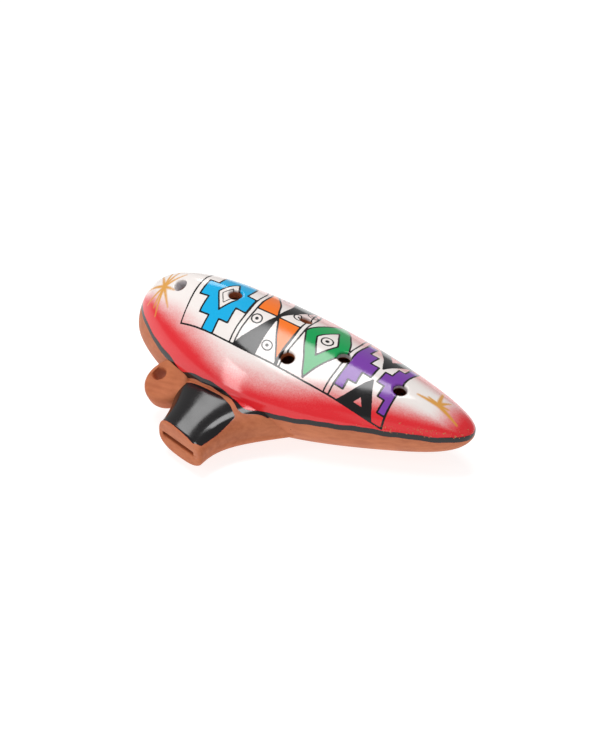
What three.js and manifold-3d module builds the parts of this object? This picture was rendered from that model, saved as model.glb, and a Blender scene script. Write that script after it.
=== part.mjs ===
// Transverse clay ocarina. Millimetres, +Z up. The body lies along X with its head at -X,
// the mouthpiece points to the player at -Y, and the belly stands on its ground flat at z = 0.
// It is laid out from the tip of the head (x = 0) and centred over the origin at the end.
import * as THREE from 'three';
import { ParametricGeometry } from 'three/addons/geometries/ParametricGeometry.js';
import { mergeVertices } from 'three/addons/utils/BufferGeometryUtils.js';
import Module from 'manifold-3d';

const wasm = await Module();
wasm.setup();

// Body: an egg drawn out into a tail. Each list shapes one outline from head to tail.
const LENGTH = 150;
const HALF_WIDTH = [50, 58, 68, 66, 41, 45];
const CROWN_HEIGHT = [86, 66, 26, 37, 25];
const BELLY_DEPTH = [38, 49, 50, 24, 39];
const CROWN_FULLNESS = 1.65;
const BELLY_FULLNESS = 2.4;
const WIDEST = { side: 30, crown: 27, belly: 20 };
const SEAM_HEIGHT = 24.7;
const SEAM_FALL = 8.6;
const WALL = 4.5;
const GAP = 0.3;
const ALONG = 34;
const AROUND = 18;

// Finger holes in plan from the head tip and the body's centre line, thumb holes below.
const FINGER_HOLE_RADIUS = 2.7;
const FINGER_HOLES = [[23.4, -6.2], [47.3, -3], [75, 4.2], [79.6, -16.4], [97.4, -4.8], [121.8, -5.2]];
const THUMB_HOLE_RADIUS = 3.5;
const THUMB_HOLES = [[38, 13], [104, 5]];
const HOLE_SIDES = 20;
const SURFACE_STEP = 0.01;
const POLE_STEP = 1e-9;
const WELD = 1e-4;
const FAR = 200;

// Mouthpiece: a flat-topped duct, wider where it joins the body, cut off obliquely at the lips.
const LIP = { x: 56.5, y: -54.4, turn: -0.35, halfWidth: 12.4, top: 15, bottom: 3 };
const ROOT = { x: 54, y: -20, headFlare: 13, tailFlare: 31, top: 22, bottom: 12 };
const FLARE_POWER = 2.2;
const SWEEP_POWER = 7;
const DUCT_TOP_FULLNESS = 2.8;
const DUCT_BOTTOM_FULLNESS = 2.6;
const DUCT_SPARE = 12;
const DUCT_STATIONS = 16;
const DUCT_SIDES = 32;

// Windway, voicing window and splitting edge.
const WINDWAY = { height: 1.5, level: 9, lipX: 55.1, lipHalfWidth: 9.6, exitHalfWidth: 8, exitY: -25 };
const WINDOW = { halfWidth: 8, near: -25, far: -11 };
const LABIUM = { edgeY: -19.5, edgeZ: 8.8, heelZ: 0, rise: 1.5 };

// Cord ear between the head and the mouthpiece, and the luting coil inside the seam.
const EAR = { x: 32.3, y: -26.9, z: 15, tilt: 0.54, across: 9.8, deep: 9.8, thick: 7.6, edge: 1 };
const EAR_HOLE = { x: 27.8, y: -25.4, radius: 2.7 };
const COIL = { radial: 1.1, tall: 2.2, inset: 7.2, steps: 56, sides: 8 };

const TERRACOTTA = { color: 0xc4784f, roughness: 0.85, metalness: 0 };
const PAINTED = { color: 0xe5303a, roughness: 0.25, metalness: 0 };
const GLOSS_BLACK = { color: 0x1a1714, roughness: 0.2, metalness: 0 };

/** Sum of Bernstein polynomials: a smooth curve pulled by its weights. */
function bernstein(weights, s) {
  const n = weights.length - 1;
  let choose = 1;
  let sum = 0;
  weights.forEach((weight, i) => {
    sum += weight * choose * s ** i * (1 - s) ** (n - i);
    choose = (choose * (n - i)) / (i + 1);
  });
  return sum;
}

/** Signed power, for the rounded-square sections. */
function spow(value, power) {
  return Math.sign(value) * Math.abs(value) ** power;
}

/** Height of the seam plane, which falls towards the tail. */
function seamAt(x) {
  return SEAM_HEIGHT - SEAM_FALL * (x / LENGTH);
}

/** The body's half-width and height on one side of the seam at angle phi along it. */
function bodySize(phi, inset, upper) {
  const s = (1 - Math.cos(phi)) / 2;
  const round = Math.sin(phi) / 2;
  const side = round * bernstein(HALF_WIDTH, s) * (1 - inset / WIDEST.side);
  const height = upper
    ? round * bernstein(CROWN_HEIGHT, s) * (1 - inset / WIDEST.crown)
    : round * bernstein(BELLY_DEPTH, s) * (1 - inset / WIDEST.belly);
  return { x: inset + s * (LENGTH - 2 * inset), side, height };
}

/** Body point: theta runs from the player's seam over the crown, the far seam and the belly. */
function bodyPoint(phi, theta, inset, target) {
  const upper = Math.sin(theta) >= 0;
  const power = 2 / (upper ? CROWN_FULLNESS : BELLY_FULLNESS);
  const size = bodySize(phi, inset, upper);
  return target.set(
    size.x,
    -size.side * spow(Math.cos(theta), power),
    seamAt(size.x) + size.height * spow(Math.sin(theta), power),
  );
}

/** Turns a closed geometry into a solid, leaving out the triangles that a pole collapses. */
function solid(geometry) {
  const bare = new THREE.BufferGeometry();
  bare.setAttribute('position', geometry.getAttribute('position'));
  bare.setIndex(geometry.getIndex());
  const merged = mergeVertices(bare, WELD);
  const index = Array.from(merged.getIndex().array);
  const kept = [];
  for (let i = 0; i < index.length; i += 3) {
    const [a, b, c] = index.slice(i, i + 3);
    if (a !== b && b !== c && c !== a) kept.push(a, b, c);
  }
  const vertProperties = new Float32Array(merged.getAttribute('position').array);
  return new wasm.Manifold(new wasm.Mesh({ numProp: 3, vertProperties, triVerts: new Uint32Array(kept) }));
}

/** A solid moved and turned like a three.js object. */
function placedSolid(geometry, position, quaternion = new THREE.Quaternion()) {
  const matrix = new THREE.Matrix4().compose(position, quaternion, new THREE.Vector3(1, 1, 1));
  return solid(geometry.clone().applyMatrix4(matrix));
}

function boxSolid(minimum, maximum) {
  const size = maximum.map((value, i) => value - minimum[i]);
  const centre = maximum.map((value, i) => (value + minimum[i]) / 2);
  return placedSolid(new THREE.BoxGeometry(...size), new THREE.Vector3(...centre));
}

/** One half of the body: its outer skin, the seam face and the inner skin as one closed sheet. */
function shellSolid(upper) {
  const start = upper ? 0 : Math.PI;
  const shift = upper ? GAP / 2 : -GAP / 2;
  const rows = 2 * AROUND + 2;
  const geometry = new ParametricGeometry((u, v, target) => {
    const row = Math.round(v * rows) % rows;
    const outer = row <= AROUND;
    const step = outer ? row : rows - 1 - row;
    const theta = start + Math.PI * Math.min(Math.max(step / AROUND, POLE_STEP), 1 - POLE_STEP);
    bodyPoint(Math.PI * u, theta, outer ? 0 : WALL, target);
    target.z += shift;
  }, ALONG, rows);
  return solid(geometry);
}

/** The whole body, grown or shrunk, as a solid to cut its neighbours with. */
function bodySolid(inset) {
  return solid(new ParametricGeometry(
    (u, v, target) => bodyPoint(Math.PI * u, 2 * Math.PI * (v % 1), inset, target),
    ALONG,
    2 * AROUND,
  ));
}

/** A round drill that meets the body square to its surface at a place given in plan. */
function drill(x, y, radius, upper) {
  const s = x / LENGTH;
  const phi = Math.acos(1 - 2 * s);
  const power = (upper ? CROWN_FULLNESS : BELLY_FULLNESS) / 2;
  const arc = Math.acos(spow(-y / bodySize(phi, 0, upper).side, power));
  const theta = upper ? arc : -arc;
  const [point, along, around] = [0, 1, 2].map(() => new THREE.Vector3());
  bodyPoint(phi, theta, 0, point);
  bodyPoint(phi + SURFACE_STEP, theta, 0, along).sub(point);
  bodyPoint(phi, theta + SURFACE_STEP, 0, around).sub(point);
  const normal = along.cross(around).normalize();
  const turn = new THREE.Quaternion().setFromUnitVectors(new THREE.Vector3(0, 1, 0), normal);
  return placedSolid(new THREE.CylinderGeometry(radius, radius, 4 * WALL, HOLE_SIDES), point, turn);
}

/** Mouthpiece section at t, from 0 beyond the lips to 1 inside the body. */
function ductPoint(t, theta, grow, target) {
  const reach = LIP.y - DUCT_SPARE;
  const y = reach + t * (ROOT.y - reach);
  const k = (y - LIP.y) / (ROOT.y - LIP.y);
  const flare = Math.cos(theta) > 0 ? ROOT.tailFlare : ROOT.headFlare;
  const half = LIP.halfWidth + flare * Math.max(k, 0) ** FLARE_POWER + grow;
  const top = LIP.top + k * (ROOT.top - LIP.top) + grow;
  const bottom = LIP.bottom + Math.max(k, 0) ** SWEEP_POWER * (ROOT.bottom - LIP.bottom) - grow;
  const upper = Math.sin(theta) >= 0;
  const power = 2 / (upper ? DUCT_TOP_FULLNESS : DUCT_BOTTOM_FULLNESS);
  const height = upper ? top - WINDWAY.level : WINDWAY.level - bottom;
  return target.set(
    LIP.x + k * (ROOT.x - LIP.x) + half * spow(Math.cos(theta), power),
    y,
    WINDWAY.level + height * spow(Math.sin(theta), power),
  );
}

/** The mouthpiece's outer form with its two ends closed, before it is cut to length. */
function ductSolid(grow) {
  return solid(new ParametricGeometry((u, v, target) => {
    const column = Math.round(u * (DUCT_STATIONS + 2));
    const t = Math.min(Math.max((column - 1) / DUCT_STATIONS, 0), 1);
    ductPoint(t, 2 * Math.PI * (v % 1), grow, target);
    if (column === 0 || column === DUCT_STATIONS + 2) {
      target.x = LIP.x;
      target.z = WINDWAY.level;
    }
  }, DUCT_STATIONS + 2, DUCT_SIDES));
}

/** Everything in front of the oblique lip plane. */
function beyondLips() {
  const turn = new THREE.Quaternion().setFromAxisAngle(new THREE.Vector3(0, 0, 1), LIP.turn);
  const centre = new THREE.Vector3(0, -FAR, 0).applyQuaternion(turn);
  centre.add(new THREE.Vector3(LIP.x, LIP.y, 0));
  return placedSolid(new THREE.BoxGeometry(2 * FAR, 2 * FAR, 2 * FAR), centre, turn);
}

/** The flat air channel: wide at the lips, narrower where it blows across the window. */
function windwaySolid() {
  const outline = new THREE.Shape();
  const start = LIP.y - DUCT_SPARE;
  outline.moveTo(WINDWAY.lipX - WINDWAY.lipHalfWidth, start);
  outline.lineTo(WINDWAY.lipX + WINDWAY.lipHalfWidth, start);
  outline.lineTo(ROOT.x + WINDWAY.exitHalfWidth, WINDWAY.exitY);
  outline.lineTo(ROOT.x - WINDWAY.exitHalfWidth, WINDWAY.exitY);
  const geometry = new THREE.ExtrudeGeometry(outline, { depth: WINDWAY.height, bevelEnabled: false });
  return placedSolid(geometry, new THREE.Vector3(0, 0, WINDWAY.level - WINDWAY.height / 2));
}

/** One half of the mouthpiece: the roof above the windway's level or the floor below it. */
function mouthpieceSolid(roof) {
  const face = WINDWAY.level + (roof ? -GAP / 2 : GAP / 2);
  const otherHalf = roof
    ? boxSolid([-FAR, -FAR, -FAR], [FAR, FAR, face + GAP])
    : boxSolid([-FAR, -FAR, face - GAP], [FAR, FAR, FAR]);
  return ductSolid(0)
    .subtract(beyondLips())
    .subtract(boxSolid([-FAR, WINDOW.near - GAP, -FAR], [FAR, FAR, FAR]))
    .subtract(bodySolid(-GAP))
    .subtract(otherHalf)
    .subtract(windwaySolid());
}

/** The window is cut right through the belly wall and holds the splitting edge. */
function windowSolid() {
  return boxSolid(
    [ROOT.x - WINDOW.halfWidth, WINDOW.near, -WALL],
    [ROOT.x + WINDOW.halfWidth, WINDOW.far, WINDWAY.level + WALL],
  );
}

/** A wedge that splits the jet: sharp towards the windway, the belly's wall behind it. */
function labiumSolid() {
  const profile = new THREE.Shape();
  const back = WINDOW.far - GAP;
  profile.moveTo(LABIUM.edgeY, LABIUM.edgeZ);
  profile.lineTo(back, LABIUM.heelZ);
  profile.lineTo(back, LABIUM.edgeZ + LABIUM.rise);
  const width = 2 * (WINDOW.halfWidth - GAP);
  const geometry = new THREE.ExtrudeGeometry(profile, { depth: width, bevelEnabled: false });
  const basis = new THREE.Matrix4().makeBasis(
    new THREE.Vector3(0, 1, 0),
    new THREE.Vector3(0, 0, 1),
    new THREE.Vector3(1, 0, 0),
  );
  const turn = new THREE.Quaternion().setFromRotationMatrix(basis);
  return placedSolid(geometry, new THREE.Vector3(ROOT.x - width / 2, 0, 0), turn).intersect(bodySolid(0));
}

/** The pierced ear: a tilted pat of clay cut to the body's side and the mouthpiece's flank. */
function earSolid() {
  const outline = new THREE.Shape();
  outline.absellipse(0, 0, EAR.across, EAR.deep, 0, 2 * Math.PI);
  const geometry = new THREE.ExtrudeGeometry(outline, {
    depth: EAR.thick - 2 * EAR.edge,
    bevelThickness: EAR.edge,
    bevelSize: EAR.edge,
    bevelOffset: -EAR.edge,
    bevelSegments: 2,
    curveSegments: 16,
  });
  geometry.translate(0, 0, EAR.edge - EAR.thick / 2);
  const turn = new THREE.Quaternion().setFromAxisAngle(new THREE.Vector3(1, 0, 0), EAR.tilt);
  const { radius } = EAR_HOLE;
  const hole = new THREE.CylinderGeometry(radius, radius, 4 * EAR.thick, HOLE_SIDES);
  hole.rotateX(Math.PI / 2);
  return placedSolid(geometry, new THREE.Vector3(EAR.x, EAR.y, EAR.z), turn)
    .subtract(bodySolid(-GAP))
    .subtract(ductSolid(GAP))
    .subtract(placedSolid(hole, new THREE.Vector3(EAR_HOLE.x, EAR_HOLE.y, EAR.z), turn));
}

/** The luting coil: a flattened rope of clay that follows the seam inside the chamber. */
function coilSolid() {
  return solid(new ParametricGeometry((u, v, target) => {
    const phi = 2 * Math.PI * (v % 1);
    const around = 2 * Math.PI * (u % 1);
    const inset = COIL.inset + COIL.radial * Math.cos(around);
    const size = bodySize(phi, inset, true);
    target.set(size.x, -size.side, seamAt(size.x) + COIL.tall * Math.sin(around));
  }, COIL.sides, COIL.steps));
}

/** A named mesh with flat facets from a finished solid. */
function meshOf(name, body, look) {
  const data = body.getMesh();
  const geometry = new THREE.BufferGeometry();
  geometry.setAttribute('position', new THREE.BufferAttribute(Float32Array.from(data.vertProperties), 3));
  geometry.setIndex(new THREE.BufferAttribute(Uint32Array.from(data.triVerts), 1));
  const mesh = new THREE.Mesh(geometry, new THREE.MeshStandardMaterial(look));
  mesh.name = name;
  return mesh;
}

function upperShell() {
  return FINGER_HOLES.reduce(
    (shell, [x, y]) => shell.subtract(drill(x, y, FINGER_HOLE_RADIUS, true)),
    shellSolid(true),
  );
}

function lowerShell() {
  const ground = boxSolid([-FAR, -FAR, -FAR], [FAR, FAR, 0]);
  return THUMB_HOLES.reduce(
    (shell, [x, y]) => shell.subtract(drill(x, y, THUMB_HOLE_RADIUS, false)),
    shellSolid(false).subtract(ground).subtract(windwaySolid()).subtract(windowSolid()),
  );
}

const ocarina = new THREE.Group();
ocarina.add(
  meshOf('upper_shell', upperShell(), PAINTED),
  meshOf('lower_shell', lowerShell(), TERRACOTTA),
  meshOf('seam_coil', coilSolid(), TERRACOTTA),
  meshOf('mouthpiece_roof', mouthpieceSolid(true), GLOSS_BLACK),
  meshOf('mouthpiece_floor', mouthpieceSolid(false), TERRACOTTA),
  meshOf('labium', labiumSolid(), TERRACOTTA),
  meshOf('cord_ear', earSolid(), TERRACOTTA),
);
const box = new THREE.Box3().setFromObject(ocarina);
const middle = box.getCenter(new THREE.Vector3());
ocarina.position.set(-middle.x, -middle.y, -box.min.z);

export default ocarina;
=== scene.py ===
"""A painted clay ocarina: two glued shells, a mouthpiece, a pierced ear, glaze and lights."""

import logging
import math
from dataclasses import dataclass, field
from enum import Enum

import bmesh
import bpy
import numpy as np
from mathutils import Matrix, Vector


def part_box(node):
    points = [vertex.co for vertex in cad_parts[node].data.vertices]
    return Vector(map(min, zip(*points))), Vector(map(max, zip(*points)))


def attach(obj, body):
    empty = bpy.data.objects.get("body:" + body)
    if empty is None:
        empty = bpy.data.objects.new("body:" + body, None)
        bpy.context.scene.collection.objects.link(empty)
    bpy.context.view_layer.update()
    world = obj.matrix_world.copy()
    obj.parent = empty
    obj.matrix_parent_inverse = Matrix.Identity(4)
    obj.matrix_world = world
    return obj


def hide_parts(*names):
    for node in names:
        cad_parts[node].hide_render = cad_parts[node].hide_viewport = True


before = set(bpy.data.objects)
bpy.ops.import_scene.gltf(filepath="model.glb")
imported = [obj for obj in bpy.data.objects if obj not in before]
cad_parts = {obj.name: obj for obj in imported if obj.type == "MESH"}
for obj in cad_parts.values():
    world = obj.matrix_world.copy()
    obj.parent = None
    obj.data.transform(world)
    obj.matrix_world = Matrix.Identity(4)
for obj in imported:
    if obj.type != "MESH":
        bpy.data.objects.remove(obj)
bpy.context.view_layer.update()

LOG = logging.getLogger("ocarina")
MM = 0.001
BODY = "root"
CREASE_DEGREES = 50
ANGLE_STEP = 1e-4
ROUNDS = 12
AWAY = 9.0


class Slot(Enum):
    """The record's material slots."""

    PAINTED = "painted_clay"
    BARE = "bare_clay"
    GLOSS = "black_gloss"


class Half(Enum):
    """Which half of the vessel a pressed shell makes, by the angle where it starts."""

    UPPER = 0.0
    LOWER = math.pi


class Hue(Enum):
    """Paint colours, as sRGB hex."""

    WHITE = "#F3EEEA"
    RED = "#E0252E"
    BLUE = "#04AEE4"
    GREEN = "#00A052"
    ORANGE = "#FB7A22"
    PURPLE = "#7C3CA8"
    BLACK = "#100D0F"
    GOLD = "#DC9A34"
    CLAY = "#BE693F"
    CLAY_DARK = "#8E4A2E"
    CLAY_PALE = "#D0845A"
    CLAY_PIT = "#6B3420"
    # The pale grey painted down some holes' walls: partly lacquer, and partly a painted reflection of the
    # glossy wall, lighter than the shaded hole would show.
    LINING_AND_REFLECTION = "#E2DDE0"
    FLOOR = "#FFFFFF"


def linear(hex_colour: str) -> tuple[float, float, float, float]:
    """Turns an sRGB hex colour to linear RGBA.

    Args:
        hex_colour: "#RRGGBB".
    Returns:
        Four linear numbers, alpha 1.
    """
    channels = [int(hex_colour[i : i + 2], 16) / 255 for i in (1, 3, 5)]
    parts = [c / 12.92 if c <= 0.04045 else ((c + 0.055) / 1.055) ** 2.4 for c in channels]
    return (*parts, 1.0)


def spow(value: np.ndarray, power: float | np.ndarray) -> np.ndarray:
    """The power of a magnitude, with the sign kept."""
    return np.sign(value) * np.abs(value) ** power


def bernstein(weights: tuple[float, ...], s: np.ndarray) -> np.ndarray:
    """A Bernstein polynomial of s in 0..1 with the given weights."""
    n = len(weights) - 1
    return sum(w * math.comb(n, i) * s**i * (1 - s) ** (n - i) for i, w in enumerate(weights))


def smooth(low: float | np.ndarray, high: float | np.ndarray, value: np.ndarray) -> np.ndarray:
    """The smoothstep of value between low and high."""
    t = np.clip((value - low) / (high - low), 0, 1)
    return t * t * (3 - 2 * t)


@dataclass(frozen=True)
class VesselForm:
    """The vessel as a surface of two parameters, in mm from the head's tip.

    Phi runs 0..pi from head to tail. Theta is 0 at the player's seam, pi/2 on the crown, pi at the
    far seam and 3 pi/2 on the belly. A section is a superellipse about the seam's height, whose
    half-width and height are sin(phi) / 2 times a Bernstein polynomial of the length.
    """

    length: float = 150.0
    half_width: tuple[float, ...] = (50, 58, 68, 66, 41, 45)
    crown: tuple[float, ...] = (86, 66, 26, 37, 25)
    belly: tuple[float, ...] = (38, 49, 50, 24, 39)
    crown_fullness: float = 1.65
    belly_fullness: float = 2.4
    widest: tuple[float, float, float] = (30, 27, 20)
    seam_height: float = 24.7
    seam_fall: float = 8.6
    wall: float = 4.5
    ground: float = 0.0

    def seam(self, x: np.ndarray) -> np.ndarray:
        """Height of the seam at x: it falls evenly from head to tail."""
        return self.seam_height - self.seam_fall * x / self.length

    def size(self, phi: np.ndarray, inset: float = 0.0) -> tuple[np.ndarray, ...]:
        """Place along, half-width, crown height and belly depth at phi, for a wall inset that far."""
        s = (1 - np.cos(phi)) / 2
        r = np.sin(phi) / 2
        scales = [1 - inset / w for w in self.widest]
        return (
            inset + s * (self.length - 2 * inset),
            r * bernstein(self.half_width, s) * scales[0],
            r * bernstein(self.crown, s) * scales[1],
            r * bernstein(self.belly, s) * scales[2],
        )

    def point(self, phi: np.ndarray, theta: np.ndarray, inset: float = 0.0) -> np.ndarray:
        """Points of the vessel's surface.

        Args:
            phi: angles along.
            theta: angles around, of the same shape.
            inset: how far the surface is moved in, in mm.
        Returns:
            Points in mm, with one more axis than phi.
        """
        x, side, crown, belly = self.size(phi, inset)
        up = np.sin(theta) >= 0
        power = np.where(up, 2 / self.crown_fullness, 2 / self.belly_fullness)
        height = np.where(up, crown, belly)
        z = self.seam(x) + height * spow(np.sin(theta), power)
        y = -side * spow(np.cos(theta), power)
        return np.stack([x + 0 * theta, y, np.maximum(z, self.ground + 0.6 * inset)], -1)

    def depth_ratio(self, points: np.ndarray) -> np.ndarray:
        """How far out a point lies across its section: 1 on the surface, less inside, more outside."""
        x = np.clip(points[..., 0], 0.5, self.length - 0.5)
        _, side, crown, belly = self.size(np.arccos(1 - 2 * x / self.length))
        up = points[..., 2] >= self.seam(x)
        n = np.where(up, self.crown_fullness, self.belly_fullness)
        height = np.where(up, crown, belly)
        q = np.abs(points[..., 1] / side) ** n + np.abs((points[..., 2] - self.seam(x)) / height) ** n
        return q ** (1 / n)

    def stations(self, count: int) -> np.ndarray:
        """Phi values evenly spaced along the widest outline, count + 1 of them."""
        phi = np.linspace(0, math.pi, 4001)
        x, side, _, _ = self.size(phi)
        run = np.concatenate([[0], np.cumsum(np.hypot(np.diff(x), np.diff(side)))])
        return np.interp(np.linspace(0, run[-1], count + 1), run, phi)

    def turns(self, count: int, start: float) -> np.ndarray:
        """Theta values evenly spaced along half of a mid section, count + 1 of them from start."""
        theta = np.linspace(start, start + math.pi, 4001)
        run_points = self.point(np.full_like(theta, 1.2), theta)
        run = np.concatenate([[0], np.cumsum(np.linalg.norm(np.diff(run_points, axis=0), axis=1))])
        values = np.interp(np.linspace(0, run[-1], count + 1), run, theta)
        values[0], values[-1] = start, start + math.pi
        return values


@dataclass
class Girth:
    """Distance round one half of the vessel from its crown or keel, in mm, growing with theta."""

    form: VesselForm
    half: Half = Half.UPPER
    rows: int = 500
    columns: int = 721

    def __post_init__(self) -> None:
        """Sums the section's length outwards from the crown, on a table of phi and theta."""
        self.phi = np.linspace(0, math.pi, self.rows)
        self.theta = np.linspace(self.half.value, self.half.value + math.pi, self.columns)
        grid = self.form.point(*np.meshgrid(self.phi, self.theta, indexing="ij"))
        steps = np.linalg.norm(np.diff(grid, axis=1), axis=-1)
        run = np.concatenate([np.zeros((self.rows, 1)), np.cumsum(steps, 1)], 1)
        self.table = run - run[:, [self.columns // 2]]

    def at(self, phi: np.ndarray, theta: np.ndarray) -> np.ndarray:
        """The girth at phi and theta, read from the table between its four nearest entries."""
        a = np.clip(phi / math.pi * (self.rows - 1), 0, self.rows - 1.001)
        turn = (theta - self.half.value) / math.pi
        b = np.clip(turn * (self.columns - 1), 0, self.columns - 1.001)
        i, j = a.astype(int), b.astype(int)
        u, v = a - i, b - j
        near = self.table[i, j] * (1 - v) + self.table[i, j + 1] * v
        far = self.table[i + 1, j] * (1 - v) + self.table[i + 1, j + 1] * v
        return near * (1 - u) + far * u


def to_polygon(points: np.ndarray, corners: list[tuple[float, float]]) -> np.ndarray:
    """Signed distance to a closed polygon, minus inside.

    The distance is to the nearest edge; a point is inside if a ray from it crosses the edges an odd
    number of times.

    Args:
        points: (N, 2) points.
        corners: the polygon's corners in order.
    Returns:
        N distances.
    """
    start = np.array(corners, float)
    edge = np.roll(start, -1, axis=0) - start
    away = points[:, None, :] - start[None]
    along = np.clip((away * edge).sum(-1) / (edge**2).sum(-1), 0, 1)
    distance = np.linalg.norm(away - along[..., None] * edge, axis=-1).min(1)
    below = start[:, 1][None] <= points[:, 1:]
    crossing = below != np.roll(below, -1, axis=1)
    side = edge[:, 0] * away[..., 1] - edge[:, 1] * away[..., 0]
    upward = np.roll(start, -1, axis=0)[:, 1] > start[:, 1]
    odd = (crossing & ((side > 0) == upward[None])).sum(1) % 2 == 1
    return np.where(odd, -distance, distance)


def to_strokes(points: np.ndarray, strokes: list[tuple[float, float, float, float, float]]) -> np.ndarray:
    """Distance to a set of brush strokes, minus inside.

    Args:
        points: (N, 2) points.
        strokes: each stroke's start, end and half-width at its start; it thins to a third at its end.
    Returns:
        N distances.
    """
    rows = np.array(strokes, float)
    start, edge = rows[:, :2], rows[:, 2:4] - rows[:, :2]
    away = points[:, None, :] - start[None]
    along = np.clip((away * edge).sum(-1) / (edge**2).sum(-1), 0, 1)
    distance = np.linalg.norm(away - along[..., None] * edge, axis=-1)
    return (distance - rows[:, 4] * (1 - 0.65 * along)).min(1)


def rhombus(x: float, v: float, across: float, below: float, above: float) -> list[tuple[float, float]]:
    """Corners of a rhombus about (x, v), with its own reach below and above."""
    return [(x - across, v), (x, v - below), (x + across, v), (x, v + above)]


def stepped_cross(x: float, v: float, steps: list[tuple[float, float, float]]) -> list[tuple[float, float]]:
    """Corners of a stepped cross about (x, v).

    Args:
        x: its middle along.
        v: its middle round.
        steps: (reach along, reach below, reach above) from the widest step to the narrowest.
    Returns:
        The corners in order.
    """
    lower_right = [(x + a, v - b) for a, b in stairs([(s[0], s[1]) for s in steps])]
    upper_right = [(x + a, v + b) for a, b in stairs([(s[0], s[2]) for s in steps])]
    right = lower_right[::-1] + upper_right
    return right + [(2 * x - a, b) for a, b in right[::-1]]


def stairs(steps: list[tuple[float, float]]) -> list[tuple[float, float]]:
    """Corners of a flight of steps, two for each: at its inner height, then at its own."""
    heights = [0.0] + [h for _, h in steps]
    return [(a, heights[i + k]) for i, (a, _) in enumerate(steps) for k in (0, 1)][1:]


@dataclass(frozen=True)
class PanelArt:
    """The painted panel and its borders, drawn in mm: along the vessel and round it.

    The panel is a window of four bays between double rules: a stepped cross, a pinwheel, a rhombus,
    and a pair of stepped edges with two triangles. Every shape is a signed distance, so that its
    edge is drawn as a brushed line of any width.
    """

    left: float = 31.9
    right: float = 121.7
    bottom: float = -22.6
    top: float = 18.5
    bend: float = 0.011
    head_bend: float = 0.00026
    rules: tuple[tuple[float, float], ...] = ((56.0, 57.9), (76.5, 78.5), (97.9, 99.9))
    eye_radius: float = 2.1
    eyes: tuple[tuple[float, float], ...] = (
        (60.7, -8.5), (70.2, -16.8), (72.6, 3.0), (88.3, -2.3), (62.6, 13.0), (76.0, 10.4),
    )

    def bent(self, points: np.ndarray) -> np.ndarray:
        """Points with the hand-drawn lean taken off: rules lean to the head past the crown."""
        x, v = points[:, 0], points[:, 1]
        lean = self.bend + self.head_bend * np.maximum(85 - x, 0)
        wobble = 0.16 * np.sin(x / 3.1 + v / 4.3) + 0.10 * np.sin(x / 1.7 - v / 2.9)
        sway = 0.18 * np.sin(x / 9.0 + 0.8) + 0.10 * np.sin(v / 2.3 + x / 5.0)
        return np.stack([x + lean * np.maximum(v, 0) ** 2 + wobble, v + sway], -1)

    def coloured(self) -> list[tuple[Hue, list[tuple[float, float]], list[list[tuple[float, float]]]]]:
        """The filled shapes: each with its paint, its outline and what is left white in it."""
        hub = (67.2, -3.1)
        start, end = self.rules[0][1], self.rules[1][0]
        low, high = self.bottom, self.top - 1
        cross = stepped_cross(45.0, -5.6, [(10.7, 3.3, 4.6), (6.6, 10.5, 14.8), (2.4, 17.5, 26.0)])
        left_steps = stepped_cross(99.9, -4.2, [(10.4, 3.1, 3.1), (6.9, 8.7, 9.0), (3.6, 13.3, 17.4)])
        right_steps = stepped_cross(121.7, -4.4, [(8.6, 3.1, 3.0), (5.6, 8.4, 9.0), (3.0, 13.9, 16.2)])
        return [
            (Hue.BLUE, cross, [rhombus(45.3, -4.9, 4.5, 7.8, 8.6)]),
            (Hue.ORANGE, [hub, (start, -4.0), (start, high)], []),
            (Hue.BLACK, [hub, (67.6, high), (76.4, high)], []),
            (Hue.ORANGE, [hub, (end, -2.3), (end + 0.8, low)], []),
            (Hue.BLACK, [hub, (67.3, low), (start, low)], []),
            (Hue.GREEN, rhombus(88.2, -2.0, 9.5, 19.6, 22.0), [rhombus(88.2, -2.2, 4.3, 8.6, 9.6)]),
            (Hue.PURPLE, left_steps, []),
            (Hue.PURPLE, right_steps, []),
            (Hue.BLACK, [(103.4, high), (111.6, -0.5), (120.8, high)],
             [[(108.4, high - 2), (111.6, 6.6), (115.0, high - 2)]]),
            (Hue.BLACK, [(103.4, low), (111.6, -7.8), (117.9, low)],
             [[(108.6, -20.0), (111.2, -15.8), (113.4, -20.0)]]),
        ]

    def marks(self, x: np.ndarray, v: np.ndarray) -> dict[str, np.ndarray]:
        """All of the panel's distances at surface points.

        Args:
            x: mm along from the head's tip.
            v: mm round from the crown.
        Returns:
            Distances in mm by attribute name, and the nearest shape's linear colour as "tint".
        """
        p = self.bent(np.stack([x, v], -1))
        inside = np.maximum(
            np.maximum(self.left - p[:, 0], p[:, 0] - self.right),
            np.maximum(self.bottom - p[:, 1], p[:, 1] - self.top),
        )
        past_rules = self.rules[2][1] - p[:, 0]
        fields, tints = [], []
        for hue, outline, voids in self.coloured():
            d = to_polygon(p, outline)
            for void in voids:
                d = np.maximum(d, -to_polygon(p, void))
            if hue is Hue.PURPLE:
                d = np.maximum(d, past_rules)
            fields.append(d)
            tints.append(linear(hue.value))
        stack = np.stack(fields)
        nearest = stack.argmin(0)
        rule = np.stack([np.maximum(a - p[:, 0], p[:, 0] - b) for a, b in self.rules]).min(0)
        eye = np.stack([np.hypot(p[:, 0] - a, (p[:, 1] - b)) - self.eye_radius for a, b in self.eyes]).min(0)
        return {
            "panel_edge": inside,
            "shape_edge": np.maximum(stack.min(0), inside),
            "rule_edge": np.maximum(rule, inside + 0.02),
            "eye_edge": np.maximum(eye, inside),
            "inset_edge": to_polygon(p, rhombus(45.3, -5.0, 2.5, 4.2, 4.2)),
            "tint": np.array(tints)[nearest],
        }


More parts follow.
